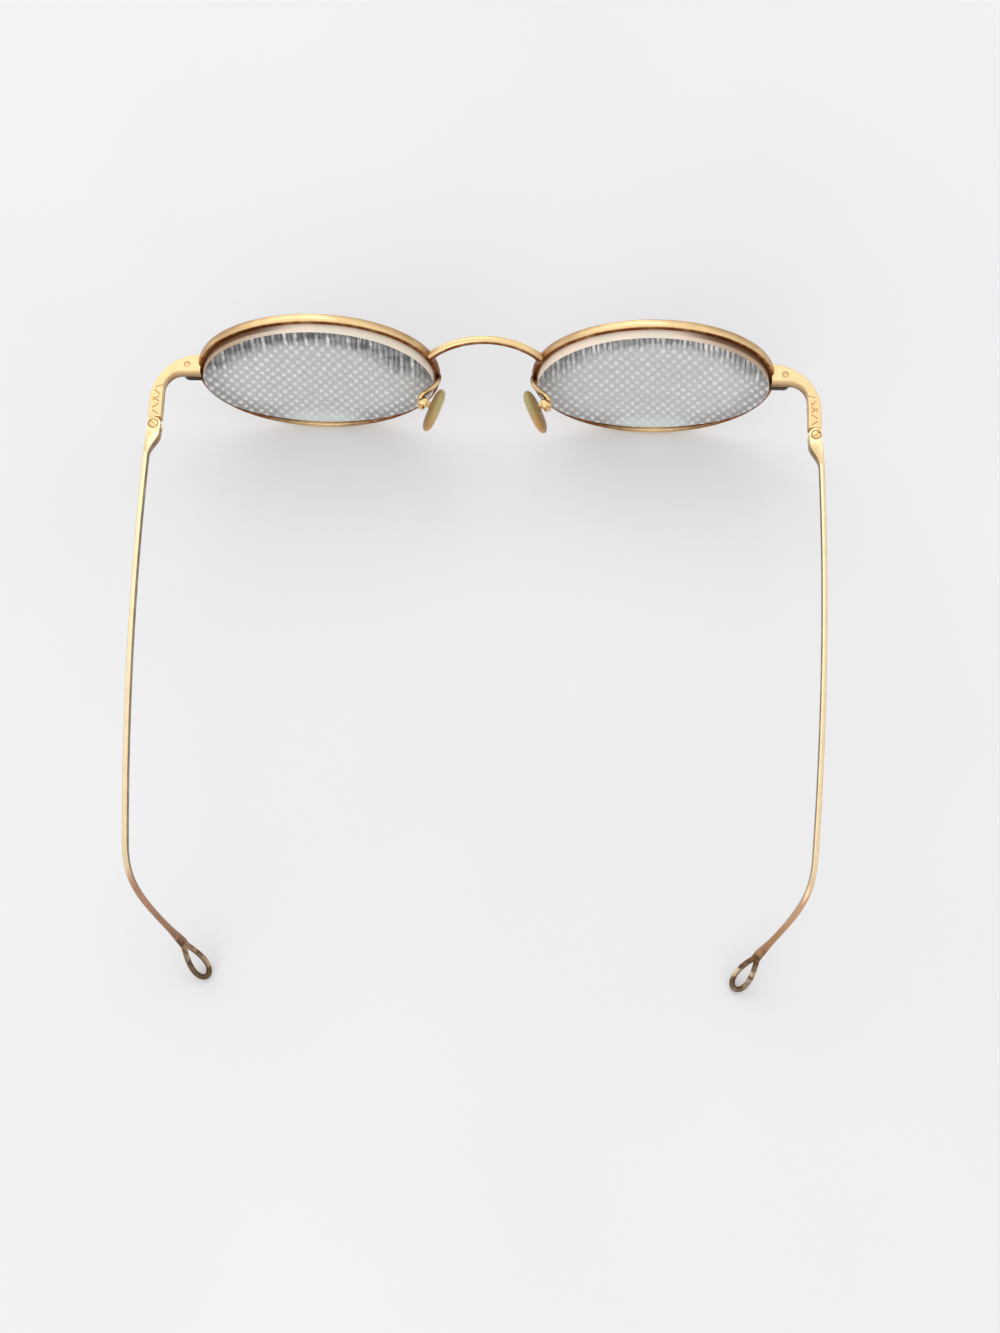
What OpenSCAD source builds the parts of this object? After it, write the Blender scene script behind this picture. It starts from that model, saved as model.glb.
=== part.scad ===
// Oval wire spectacles, standing open on the rims and the ear tips.
// Millimetres. +Z is up, the lenses face +Y, the temples run back towards -Y.
// The right side of the wearer is +X. Each side piece is drawn once for +X and mirrored.

/* [Lenses] */
// Width of a lens, bevel tip to bevel tip
lens_w = 48.4; // [46:0.2:51]
// Height of a lens, bevel tip to bevel tip
lens_h = 37.5; // [36:0.1:41]
// Gap between the two lenses at the nose
lens_gap = 20.2; // [18:0.2:22]
// Thickness of a lens at its middle
lens_mid_t = 1.5; // [1.4:0.1:2.2]
// Radius of the outer lens surface
lens_front_r = 250; // [200:10:400]
// Radius of the hollow inner lens surface
lens_back_r = 118; // [95:1:140]
// Distance of the thinnest point of a lens below its middle
lens_drop = 7.6; // [2:0.2:8]
// Gap between the lens edge and the rim
lens_fit = 0.05; // [0.03:0.01:0.1]

/* [Rims] */
// Metal between the lens groove and the outside of the rim
rim_wall = 0.7; // [0.5:0.05:1]
// Depth of the lens groove
groove_d = 0.45; // [0.3:0.05:0.6]
// Width of the lens groove
groove_w = 0.8; // [0.6:0.05:1]
// Width of the rim from front to back
rim_w = 1.9; // [1.6:0.1:2.4]
// Slit that lets the rim open for the lens
slit = 0.3; // [0.2:0.05:0.5]
// Lean of the front, its top away from the face
lean = 6; // [4:0.5:10]
// Rise of the outer end of each oval, in degrees
oval_tilt = 3; // [0:0.5:5]
// Wrap of the front towards the temples, in degrees
wrap = 1; // [0:0.5:3]

/* [Bridge] */
// Diameter of the bridge wire
bridge_d = 1.7; // [1.4:0.1:2]
// Height of the bridge ends over the middle of the lenses
bridge_up = 6.8; // [5.6:0.2:9]
// Rise of the bridge arch
bridge_rise = 3.5; // [2.5:0.1:5]
// Reach of the bridge arch in front of its ends
bridge_reach = 1.8; // [1.2:0.1:3]

/* [End pieces] */
// Height of the end piece above the slit of the rim
ep_h = 2.6; // [2.2:0.1:3]
// Width of the end piece strip inwards from the hinge pin
ep_in = 1.5; // [1.3:0.05:1.7]
// Width of the end piece strip outwards from the hinge pin
ep_out = 1.15; // [1.1:0.05:1.4]
// Outer corner radius of the end piece
ep_r = 10.2; // [9:0.1:10.8]
// Inner corner radius of the end piece
ep_in_r = 3.6; // [2:0.1:4.2]
// Distance from the rim end out to the hinge pin
hinge_out = 7.75; // [7:0.05:8]
// Distance from the front back to the hinge pin
hinge_back = 14.25; // [13.5:0.05:16]
// Depth of the end piece behind the front
lock_back = 2.1; // [2:0.05:2.5]
// Height of the lower lock block
lock_h = 1.6; // [1.4:0.1:2.4]
// Depth of the engraved notches
notch_d = 0.12; // [0.08:0.01:0.2]
// Number of engraved notches on each end piece
notches = 6; // [3:1:7]

/* [Screws] */
// Diameter of the lock screw
lock_screw_d = 1.4; // [1.2:0.1:1.6]
// Diameter of the hinge screw shank
hinge_screw_d = 1.2; // [1:0.1:1.3]
// Diameter of the hinge screw head
hinge_head_d = 1.9; // [1.7:0.05:2]
// Diameter of the pad screw
pad_screw_d = 0.8; // [0.6:0.05:0.9]
// Radial clearance of each screw in its hole
screw_fit = 0.03; // [0.02:0.01:0.05]
// Depth and width of each screwdriver slot
screw_slot = 0.25; // [0.2:0.05:0.3]

/* [Hinges] */
// Height of the hinge block on the temple
block_h = 2.6; // [2.4:0.1:3.2]
// Height of the middle knuckle
knuckle_h = 1; // [0.8:0.05:1.1]
// Gap above and below the middle knuckle and at the butt faces
hinge_gap = 0.08; // [0.05:0.01:0.12]
// Length of the full-width part of the hinge block behind the pin
block_len = 1.8; // [1.7:0.1:2.6]
// Length of the curve that narrows the block to the blade
block_taper = 4.6; // [4:0.1:7]

/* [Temples] */
// Thickness of the temple blade, seen from above
blade_t = 1.0; // [0.8:0.05:1.2]
// Height of the temple blade
blade_h = 2.2; // [1.8:0.1:2.6]
// Distance from the hinge pin back to the ear bend
bend_back = 88.5; // [82:0.5:96]
// Rise of the blade between hinge and bend
blade_rise = 5.2; // [3:0.1:7]
// Outward bow of the blade
blade_bow = 1.05; // [0:0.05:2]
// Outward splay of the open hinge block, in degrees
splay = 2.9; // [0:0.1:4]
// Distance that the bend lies inside the hinge
bend_in = 2.95; // [1:0.05:5]
// Reach of the ear tip behind the bend
tip_back = 19.5; // [16:0.5:24]
// Length of the bend before the temple drops behind the ear
ear_turn = 8.2; // [5:0.2:10]
// Distance that the ear tip lies inside the bend
tip_in = 12.8; // [9:0.1:15]
// Width of the ear wire, seen from above
ear_w = 1.5; // [1.3:0.05:1.7]
// Thickness of the ear wire
ear_h = 1.4; // [1.2:0.05:1.6]
// Length of the eyelet in the ear tip
eyelet_len = 11; // [10:0.2:13]
// Width of the eyelet in the ear tip
eyelet_w = 4; // [3.6:0.1:5]
// Diameter of the eyelet wire
eyelet_wire = 1.1; // [0.9:0.05:1.3]

/* [Nose pads] */
// Length of a nose pad
pad_len = 14; // [12:0.2:16]
// Width of a nose pad
pad_w = 7.2; // [6.4:0.1:8]
// Thickness of a nose pad
pad_t = 2.4; // [2:0.1:2.8]
// Distance of the pad screw outside the nose edge of the lens
pad_out = 2.4; // [2:0.1:3]
// Distance of the pad screw behind the front
pad_back = 7.8; // [7.4:0.1:9]
// Height of the pad screw over the middle of the lenses
pad_up = 2.7; // [1.5:0.1:4]
// Distance of the middle of the pad below its screw
pad_drop = 1.1; // [0:0.1:2]
// Splay of the pads seen from the front
pad_front_angle = 14; // [8:1:20]
// Splay of the pads seen from above
pad_top_angle = 18; // [12:1:25]
// Diameter of the pad box
box_d = 2.7; // [2.5:0.05:3]
// Diameter of the pad arm wire
arm_d = 1.05; // [0.9:0.05:1.1]

/* [Hidden] */
$fn = 48;
oval_steps = 96;
gold = "goldenrod";
old_gold = "darkgoldenrod";
cut = 0.5;          // how far a cutting shape reaches past the face it cuts

// Places worked out from the sizes above
eye_x = (lens_w + lens_gap) / 2;
rim_a = lens_w / 2 + rim_wall;
rim_b = lens_h / 2 + rim_wall;
rim_half_h = sqrt(pow(rim_b * cos(oval_tilt), 2) + pow(rim_a * sin(oval_tilt), 2));
eye_z = rim_half_h * cos(lean) + rim_w / 2 * sin(lean);
end_x = eye_x + rim_a * cos(oval_tilt) * cos(wrap);
end_y = rim_a * sin(oval_tilt) * sin(lean) - rim_a * sin(wrap);
split_z = eye_z + rim_a * sin(oval_tilt) * cos(lean);
top_z = split_z + slit / 2 + ep_h;
lens_front_z = -1.6;
groove_r = -groove_d - lens_fit;
rim_mid = (rim_wall - groove_d) / 2;

pin_x = end_x + hinge_out;
pin_y = -hinge_back;
butt = ep_in;
butt_y = pin_y + butt + hinge_gap;
block_z = top_z - block_h;
plate_h = (block_h - knuckle_h) / 2 - hinge_gap;
knuckle_z = block_z + plate_h + hinge_gap;
lock_front = 1.9;
lock_r = lock_back - 0.8;
lock_x = end_x + 1.8;
lock_y = end_y - 0.5;
head_h = 0.35;
lock_head_h = 0.7;
lock_head_d = lock_screw_d + 0.6;
lock_recess = 0.25;

bridge_end_z = eye_z + bridge_up;
bridge_end_y = bridge_up * tan(lean);
bridge_half = eye_x - rim_a * sqrt(1 - pow(bridge_up / rim_b, 2));
arch_h = sqrt(bridge_rise * bridge_rise + bridge_reach * bridge_reach);
arch_r = (bridge_half * bridge_half + arch_h * arch_h) / (2 * arch_h);
arch_half = asin(bridge_half / arch_r) + 3;

pad_at = [lens_gap / 2 + pad_out, -pad_back, eye_z + pad_up];
pad_seat = 1.5;     // from the pad screw to the back of the pad
box_front = 0.8;
box_back = 1.2;
box_slot = 0.8;
box_flat = 1.15;
slot_back = 0.82;
lug_t = 0.7;
lug_r = 0.75;

blade_y = pin_y - block_len - block_taper;
splay_x = tan(splay);     // outward shift per length behind the pin
blade_x = pin_x + ep_out + (block_len + block_taper) * splay_x - blade_t / 2;
blade_z = top_z - blade_h / 2;
bend = [pin_x - bend_in, pin_y - bend_back, top_z + blade_rise - blade_h / 2];
tip = [bend[0] - tip_in, bend[1] - tip_back, 0.34 * eyelet_wire];
tip_dir = unit([-0.386, -0.484, -0.786]);
bend_dir = unit([bend[0] - blade_x - 4 * blade_bow, bend[1] - blade_y, bend[2] - blade_z]);
fork = tip - tip_dir * (eyelet_len - eyelet_wire / 2);
corner = bend + bend_dir * ear_turn;
mid_y = (bridge_end_y + bridge_reach + bridge_d / 2 + tip[1] - eyelet_wire / 2) / 2;

function unit(v) = v / norm(v);
function mix(a, b, t) = a + (b - a) * t;
function smooth(t) = t * t * (3 - 2 * t);
function bezier(a, b, c, d, t) = pow(1 - t, 3) * a + 3 * pow(1 - t, 2) * t * b
  + 3 * (1 - t) * t * t * c + pow(t, 3) * d;

// Points of the lens outline moved outwards by d
function oval(d) = [for (i = [0 : oval_steps - 1])
  let (a = lens_w / 2, b = lens_h / 2, u = i * 360 / oval_steps,
       n = [b * cos(u), a * sin(u)])
  [a * cos(u), b * sin(u)] + unit(n) * d];

// A point of the lens plane in the frame of the front, as eye() places it
function eye_point(p) = let (
    a = [p[0] * cos(oval_tilt) - p[1] * sin(oval_tilt), -p[2],
         p[0] * sin(oval_tilt) + p[1] * cos(oval_tilt)],
    b = [a[0] * cos(wrap) + a[1] * sin(wrap), a[1] * cos(wrap) - a[0] * sin(wrap), a[2]])
  [eye_x + b[0], b[1] * cos(lean) + b[2] * sin(lean), eye_z + b[2] * cos(lean) - b[1] * sin(lean)];

// A point of the pad's own frame in the frame of the front
function pad_point(p) = let (
    a = [-p[2], p[1], p[0]],
    b = [a[0] * cos(pad_top_angle) - a[1] * sin(pad_top_angle),
         a[0] * sin(pad_top_angle) + a[1] * cos(pad_top_angle), a[2]],
    t = -pad_front_angle)
  pad_at + [b[0] * cos(t) + b[2] * sin(t), b[1], b[2] * cos(t) - b[0] * sin(t)];

// Section of a rounded bar: w across, h high, with cut corners
function bar(w, h) = let (c = 0.28 * min(w, h), x = w / 2, y = h / 2)
  [[x, c - y], [x, y - c], [x - c, y], [c - x, y], [-x, y - c], [-x, c - y], [c - x, -y], [x - c, -y]];

// One ring of a sweep: the section drawn square to the direction
function ring(p, dir, sec, up = [0, 0, 1]) = let (
    side = unit(cross(dir, up)), top = cross(side, dir))
  [for (q = sec) p + side * q[0] + top * q[1]];

function heading(path, i) = unit(path[min(i + 1, len(path) - 1)] - path[max(i - 1, 0)]);

// Solid through a list of rings that have the same number of points
module skin(rings, closed = false) {
  n = len(rings[0]);
  m = len(rings);
  last = closed ? m : m - 1;
  polyhedron(
    points = [for (r = rings, p = r) p],
    faces = concat(
      [for (i = [0 : last - 1], j = [0 : n - 1])
        [i * n + j, i * n + (j + 1) % n, ((i + 1) % m) * n + (j + 1) % n, ((i + 1) % m) * n + j]],
      closed ? [] : [[for (j = [n - 1 : -1 : 0]) j]],
      closed ? [] : [[for (j = [0 : n - 1]) (m - 1) * n + j]]),
    convexity = 6);
}

module place() {
  translate([0, -mid_y, 0]) children();
}

module side(s) {
  place() mirror([s < 0 ? 1 : 0, 0, 0]) children();
}

// Plane of a lens: x outwards, y up, z towards the face
module eye() {
  translate([eye_x, 0, eye_z]) rotate([-lean, 0, 0]) rotate([0, 0, -wrap])
    rotate([0, -oval_tilt, 0]) rotate([90, 0, 0]) children();
}

module oval_plate(d, z0, z1) {
  translate([0, 0, z0]) linear_extrude(z1 - z0) polygon(oval(d));
}

module rim(s) {
  color(gold) side(s) difference() {
    eye() difference() {
      oval_plate(rim_wall, -rim_w / 2, rim_w / 2);
      oval_plate(-groove_d, -rim_w, rim_w);
      oval_plate(0, -groove_w / 2, groove_w / 2);
    }
    translate([end_x - 3, end_y - 3, split_z - slit / 2]) cube([6, 6, slit]);
  }
}

module lens(s) {
  color("lightgray", 0.7) side(s) eye() difference() {
    intersection() {
      union() {
        oval_plate(groove_r, -3, 8);
        oval_plate(-lens_fit, -groove_w / 2 + lens_fit, groove_w / 2 - lens_fit);
      }
      translate([0, 0, lens_front_z + lens_front_r]) sphere(r = lens_front_r, $fn = 240);
    }
    translate([0, -lens_drop, lens_front_z + lens_mid_t + lens_back_r]) sphere(r = lens_back_r, $fn = 240);
  }
}

module bridge() {
  color(gold) place() difference() {
    translate([0, bridge_end_y, bridge_end_z])
      rotate([atan2(bridge_rise, bridge_reach), 0, 0])
      translate([0, arch_h - arch_r, 0]) rotate(90 - arch_half)
      rotate_extrude(angle = 2 * arch_half) translate([arch_r, 0]) circle(d = bridge_d);
    for (s = [0, 1]) mirror([s, 0, 0]) eye() oval_plate(rim_wall, -4, 4);
  }
}

// Room that the rim and the lens take beside the end piece and the lock
module eye_room() {
  eye() oval_plate(rim_wall, -rim_w / 2, rim_w / 2);
  eye() oval_plate(-groove_d + 0.1, -6, 9);
}

module end_piece(s) {
  x_in = pin_x - ep_in;
  x_out = pin_x + ep_out;
  y_turn = lock_front - ep_r + end_y;
  y_in = end_y - lock_back;
  color(gold) side(s) difference() {
    union() {
      intersection() {
        translate([x_out - ep_r, y_turn, top_z - ep_h]) cylinder(r = ep_r, h = ep_h);
        translate([end_x - 1.2, y_turn, top_z - ep_h]) cube([2 * ep_r, 2 * ep_r, ep_h]);
      }
      translate([x_in - 6, butt_y, top_z - ep_h]) cube([6 + ep_in + ep_out, y_turn - butt_y, ep_h]);
      // middle knuckle, a tongue round the hinge pin
      translate([pin_x, pin_y, knuckle_z]) cylinder(r = ep_out, h = knuckle_h);
      translate([pin_x - ep_out, pin_y, knuckle_z]) cube([2 * ep_out, butt_y - pin_y + cut, knuckle_h]);
    }
    // inner corner
    translate([x_in - 12, butt_y - cut, block_z - cut])
      cube([12, y_in - ep_in_r - butt_y + cut, block_h + 2 * cut]);
    translate([x_in - 12, butt_y, block_z - cut])
      cube([12 - ep_in_r, y_in - butt_y, block_h + 2 * cut]);
    translate([x_in - ep_in_r, y_in - ep_in_r, block_z - cut])
      cylinder(r = ep_in_r, h = block_h + 2 * cut);
    eye_room();
    translate([lock_x, lock_y, split_z - cut]) cylinder(d = lock_screw_d + 2 * screw_fit, h = ep_h + 2 * cut);
    translate([pin_x, pin_y, block_z]) cylinder(d = hinge_screw_d + 2 * screw_fit, h = block_h);
    notch_row(x_out, y_turn);
  }
}

// Slanting notches engraved along the top of the strip
module notch_row(x_out, y_turn) {
  r = ep_r - (ep_in + ep_out) / 2;
  step = 8.6 / notches;
  for (i = [0 : notches - 1])
    translate([x_out - ep_r, y_turn, top_z - notch_d])
      if (i * step < 4.3) translate([r, butt_y + 1 + i * step - y_turn, 0]) rotate(i % 2 == 0 ? 35 : -35)
        translate([-0.9, -0.1, 0]) cube([1.8, 0.2, 1]);
      else rotate((i * step - 4.3) * 360 / (2 * PI * r)) translate([r, 0, 0])
        rotate(i % 2 == 0 ? 35 : -35) translate([-0.9, -0.1, 0]) cube([1.8, 0.2, 1]);
}

module lock_block(s) {
  z0 = split_z - slit / 2 - lock_h;
  color(old_gold) side(s) difference() {
    union() {
      translate([end_x - 1.2, lock_y - lock_r, z0]) cube([lock_x - end_x + 1.2, 2 * lock_r, lock_h]);
      translate([lock_x, lock_y, z0]) cylinder(r = lock_r, h = lock_h);
    }
    eye_room();
    translate([lock_x, lock_y, z0 - cut]) cylinder(d = lock_screw_d + 2 * screw_fit, h = lock_h + 2 * cut);
  }
}

module slotted_head(d, h) {
  difference() {
    cylinder(d = d, h = h);
    translate([-d, -screw_slot / 2, h - screw_slot]) cube([2 * d, screw_slot, 1]);
  }
}

module lock_screw(s) {
  z0 = split_z - slit / 2 - lock_h;
  color(old_gold) side(s) translate([lock_x, lock_y, z0]) {
    rotate([180, 0, 0]) slotted_head(lock_head_d, lock_head_h);
    cylinder(d = lock_screw_d, h = lock_h + slit + ep_h - lock_recess);
  }
}

module hinge_block(s) {
  n = 12;
  long = block_len + block_taper;
  color(gold) side(s) translate([pin_x, pin_y, 0]) difference() {
    union() {
      translate([0, 0, block_z]) cylinder(r = ep_in, h = block_h);
      translate([0, 0, block_z]) cube([ep_out, butt, block_h]);
      translate([0, 0, block_z]) linear_extrude(block_h)
        polygon([[ep_out, 0], [-ep_in, 0], [block_len * splay_x - ep_in, -block_len],
          [block_len * splay_x + ep_out, -block_len]]);
      // the block narrows to the blade from its inner side and from below
      intersection() {
        translate([0, 0, block_z]) linear_extrude(block_h)
          polygon(concat([[ep_out + block_len * splay_x, -block_len],
              [ep_out + long * splay_x, -long]],
            [for (i = [n : -1 : 0]) let (back = block_len + block_taper * i / n)
              [mix(-ep_in, ep_out - blade_t, smooth(i / n)) + back * splay_x, -back]]));
        rotate([90, 0, 90]) linear_extrude(20, center = true)
          polygon(concat([[-block_len, top_z], [-block_len - block_taper, top_z]],
            [for (i = [n : -1 : 0]) [-block_len - block_taper * i / n,
              mix(block_z, top_z - blade_h, smooth(i / n))]]));
      }
    }
    // the front's round corner clears the end piece
    translate([ep_out, -ep_in, block_z - cut]) cube([4, 3 * ep_in, block_h + 2 * cut]);
    // gap for the middle knuckle
    translate([0, 0, knuckle_z - hinge_gap]) {
      cylinder(r = ep_out + 0.2, h = knuckle_h + 2 * hinge_gap);
      translate([-4, 0, 0]) cube([8, 4, knuckle_h + 2 * hinge_gap]);
      translate([-4, -ep_out - 0.2, 0]) cube([4, ep_out + 0.2 + cut, knuckle_h + 2 * hinge_gap]);
    }
    translate([0, 0, block_z - cut]) cylinder(d = hinge_screw_d + 2 * screw_fit, h = block_h + 2 * cut);
    translate([0, 0, top_z - head_h]) cylinder(d = hinge_head_d + 2 * screw_fit, h = 2);
  }
}

module hinge_screw(s) {
  color(old_gold) side(s) translate([pin_x, pin_y, 0]) {
    translate([0, 0, top_z - head_h]) rotate(40) slotted_head(hinge_head_d, head_h);
    translate([0, 0, block_z]) cylinder(d = hinge_screw_d, h = block_h - head_h);
  }
}

// Straight part, ear bend and eyelet of one temple: one bent wire
module temple_arm(s) {
  n1 = 14;
  n2 = 16;
  reach = bend[1] - blade_y;
  straight = [for (i = [0 : n1]) let (t = i / n1)
    [mix(blade_x, bend[0], t) + 4 * blade_bow * t * (1 - t),
     blade_y + reach * t, mix(blade_z, bend[2], t)]];
  ear = [for (i = [1 : n2])
    bezier(bend, corner, mix(corner, fork, 0.25), fork, i / n2)];
  path = concat(straight, ear);
  color(gold) side(s) {
    skin([for (i = [0 : n1 + n2])
      let (t = max(0, (i - n1) / n2), dir = i == 0 ? [0, -1, 0] : heading(path, i))
      ring(path[i], dir, bar(mix(blade_t, ear_w, smooth(t)), mix(blade_h, ear_h, smooth(t))))]);
    eyelet();
  }
}

module eyelet() {
  n = 32;
  a = (eyelet_len - eyelet_wire) / 2;
  b = (eyelet_w - eyelet_wire) / 2;
  across = unit(cross(tip_dir, [0, 0, 1]));
  face = cross(across, tip_dir);
  c = fork + tip_dir * (a + eyelet_wire / 4);
  loop = [for (i = [0 : n - 1]) let (u = i * 360 / n)
    c - tip_dir * a * cos(u) + across * b * sin(u) * (1 - 0.35 * cos(u))];
  skin([for (i = [0 : n - 1])
    ring(loop[i], unit(loop[(i + 1) % n] - loop[(i + n - 1) % n]), bar(eyelet_wire, eyelet_wire), face)],
    closed = true);
}

// The pad's own frame: x along the pad and up, y forwards, z from the screw to the nose
module pad_frame() {
  translate(pad_at) rotate([0, -pad_front_angle, 0]) rotate([0, 0, pad_top_angle])
    rotate([0, -90, 0]) children();
}

module pad_box_solid() {
  intersection() {
    translate([0, 0, -box_back]) cylinder(d = box_d, h = box_back + box_front);
    cube([4, 2 * box_flat, 4], center = true);
  }
}

module pad_box(s) {
  color(gold) side(s) pad_frame() difference() {
    pad_box_solid();
    translate([-2, -box_slot / 2, -slot_back]) cube([4, box_slot, 4]);
    rotate([90, 0, 0]) cylinder(d = pad_screw_d + 2 * screw_fit, h = 4, center = true);
  }
}

module pad_screw(s) {
  color(old_gold) side(s) pad_frame() {
    rotate([90, 0, 0]) cylinder(d = pad_screw_d, h = 2 * box_flat, center = true);
    translate([0, -box_flat, 0]) rotate([90, 0, 0]) slotted_head(pad_screw_d + 0.5, 0.4);
  }
}

module pad_lug(s) {
  color("silver") side(s) pad_frame() difference() {
    union() {
      rotate([90, 0, 0]) cylinder(r = lug_r, h = lug_t, center = true);
      translate([-lug_r, -lug_t / 2, 0]) cube([2 * lug_r, lug_t, pad_seat]);
    }
    rotate([90, 0, 0]) cylinder(d = pad_screw_d + 2 * screw_fit, h = 4, center = true);
  }
}

module pad_outline(inset) {
  scale([(pad_len / 2 - inset) / (pad_w / 2 - inset), 1]) circle(r = pad_w / 2 - inset, $fn = 40);
}

module nose_pad(s) {
  color("tan") side(s) pad_frame() translate([-pad_drop, 0, pad_seat]) hull() {
    linear_extrude(0.01) pad_outline(0.5);
    translate([0, 0, pad_t * 0.25]) linear_extrude(0.01) pad_outline(0.05);
    translate([0, 0, pad_t * 0.5]) linear_extrude(0.01) pad_outline(0);
    translate([0, 0, pad_t * 0.82]) linear_extrude(0.01) pad_outline(0.35);
    translate([0, 0, pad_t - 0.01]) linear_extrude(0.01) pad_outline(0.95);
  }
}

module pad_arm(s) {
  n = 16;
  foot = 3;           // angle of the arm's foot on the oval
  start = eye_point([-(lens_w / 2 + rim_mid + 0.1) * cos(foot), (lens_h / 2 + rim_mid) * sin(foot),
    rim_w / 2 - 0.4]);
  goal = pad_point([box_d / 2 - 0.3, 0, slot_back - box_back - 0.45]);
  away = pad_point([box_d / 2 + 2, 0, slot_back - box_back - 0.95]);
  path = [for (i = [0 : n]) bezier(start, start + [-1, -3, 0.9], away, goal, i / n)];
  color(gold) side(s) difference() {
    skin([for (i = [0 : n]) ring(path[i], i == 0 ? [0, -1, 0] : heading(path, i),
      [for (j = [0 : 9]) arm_d / 2 * [cos(j * 36), sin(j * 36)]], [1, 0, 0.2])]);
    pad_frame() pad_box_solid();
    eye() oval_plate(rim_wall, -rim_w, rim_w / 2);
  }
}

rim(1);  // rim_right
rim(-1);  // rim_left
lens(1);  // lens_right
lens(-1);  // lens_left
bridge();
end_piece(1);  // end_piece_right
end_piece(-1);  // end_piece_left
lock_block(1);  // lock_block_right
lock_block(-1);  // lock_block_left
lock_screw(1);  // lock_screw_right
lock_screw(-1);  // lock_screw_left
pad_arm(1);  // pad_arm_right
pad_arm(-1);  // pad_arm_left
pad_box(1);  // pad_box_right
pad_box(-1);  // pad_box_left
pad_screw(1);  // pad_screw_right
pad_screw(-1);  // pad_screw_left
pad_lug(1);  // pad_lug_right
pad_lug(-1);  // pad_lug_left
nose_pad(1);  // nose_pad_right
nose_pad(-1);  // nose_pad_left
hinge_block(1);  // hinge_block_right
hinge_block(-1);  // hinge_block_left
hinge_screw(1);  // hinge_screw_right
hinge_screw(-1);  // hinge_screw_left
temple_arm(1);  // temple_arm_right
temple_arm(-1);  // temple_arm_left
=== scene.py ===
# Oval wire glasses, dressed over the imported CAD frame. Shapes are worked out in millimetres.
import bmesh
import bpy
import numpy as np
from mathutils import Matrix, Vector


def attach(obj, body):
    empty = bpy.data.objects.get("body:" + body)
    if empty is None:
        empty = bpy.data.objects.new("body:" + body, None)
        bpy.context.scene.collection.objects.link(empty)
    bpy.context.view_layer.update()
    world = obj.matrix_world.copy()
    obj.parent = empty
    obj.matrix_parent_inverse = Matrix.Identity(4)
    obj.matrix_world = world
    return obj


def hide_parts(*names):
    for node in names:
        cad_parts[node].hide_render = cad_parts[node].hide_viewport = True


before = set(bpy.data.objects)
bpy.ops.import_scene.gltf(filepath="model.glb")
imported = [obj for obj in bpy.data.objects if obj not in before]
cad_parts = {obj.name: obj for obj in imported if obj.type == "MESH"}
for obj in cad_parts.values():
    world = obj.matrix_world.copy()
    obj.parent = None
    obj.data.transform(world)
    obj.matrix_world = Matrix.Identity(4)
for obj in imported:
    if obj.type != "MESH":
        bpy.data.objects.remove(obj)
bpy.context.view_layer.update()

mm = 0.001
sides = {"right": 1, "left": -1}    # +X is the wearer's right
# what the pieces of the front share: its place, three angles, the lens and the section of the rim
front = dict(yShift=59.7176, lean=6.0, tilt=3.0, wrap=1.0, lensWide=48.4, lensHigh=37.5, lensGap=20.2,
             rimWall=0.7, rimWide=1.9)
rimHalfWide = front["lensWide"] / 2 + front["rimWall"]
rimHalfHigh = front["lensHigh"] / 2 + front["rimWall"]


# Small geometry helpers

def unit(v):
    # each vector over its own length
    return v / np.linalg.norm(v, axis=-1, keepdims=True)


def smoothStep(t):
    # 3 t^2 - 2 t^3 between 0 and 1, flat outside
    t = np.clip(t, 0.0, 1.0)
    return t * t * (3 - 2 * t)


def circle(angle):
    # (cos, sin) of each angle
    return np.stack([np.cos(angle), np.sin(angle)], -1)


def fullTurn(steps):
    # equal angles once round, the last one short of the first
    return np.linspace(0, 2 * np.pi, steps, endpoint=False)


def runLength(points):
    # distance along a polyline at each of its points
    return np.concatenate([[0], np.cumsum(np.linalg.norm(np.diff(points, axis=0), axis=1))])


def turn(axis, degrees):
    # rotation matrix about one axis of the frame
    return np.array(Matrix.Rotation(np.radians(degrees), 3, axis))


def bezier(a, b, c, d, t):
    # cubic: four control points weighted by the powers of t and 1 - t
    t = t[:, None]
    return a * (1 - t)**3 + 3 * b * t * (1 - t)**2 + 3 * c * t * t * (1 - t) + d * t**3


def lensCentre():
    # half a lens and half the gap out; half the tilted and leaned rim high, so that it stands on the floor
    tilt, lean = np.radians([front["tilt"], front["lean"]])
    halfHigh = np.hypot(rimHalfHigh * np.cos(tilt), rimHalfWide * np.sin(tilt))
    return np.array([(front["lensWide"] + front["lensGap"]) / 2, front["yShift"],
                     halfHigh * np.cos(lean) + front["rimWide"] / 2 * np.sin(lean)])


eyeMiddle = lensCentre()
eyeTurn = turn("X", -front["lean"]) @ turn("Z", -front["wrap"]) @ turn("Y", -front["tilt"]) @ turn("X", 90)


def eyeToFrame(points):
    # lens plane (x outwards, y up, z to the face) turned by tilt, wrap and lean, then set on the lens centre
    return points @ eyeTurn.T + eyeMiddle


def ovalOffset(u, d):
    # ellipse (a cos u, b sin u) pushed out by d along its normal (b cos u, a sin u)
    a, b = front["lensWide"] / 2, front["lensHigh"] / 2
    return circle(u) * [a, b] + unit(circle(u) * [b, a]) * np.asarray(d)[..., None]


def roundedBar(wide, high, radius, corner=6, flat=1):
    # rounded rectangle for each ring: quarter circles on four corner centres, the top cut into `flat` steps
    wide, high, radius = (np.atleast_1d(v)[:, None] for v in (wide, high, radius))
    radius = np.minimum(radius, np.minimum(wide, high) / 2)
    x, y = wide / 2 - radius, high / 2 - radius
    parts = []
    for sx, sy, start in ((1, 1, 0), (-1, 1, 90), (-1, -1, 180), (1, -1, 270)):
        angle = np.radians(start + np.linspace(0, 90, corner))
        parts.append(np.stack([sx * x + radius * np.cos(angle), sy * y + radius * np.sin(angle)], -1))
        if start == 0:
            share = np.linspace(1, -1, flat + 1)[1:-1]
            parts.append(np.stack([share * x, high / 2 + 0 * share * x], -1))
    return np.concatenate(parts, 1)


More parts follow.
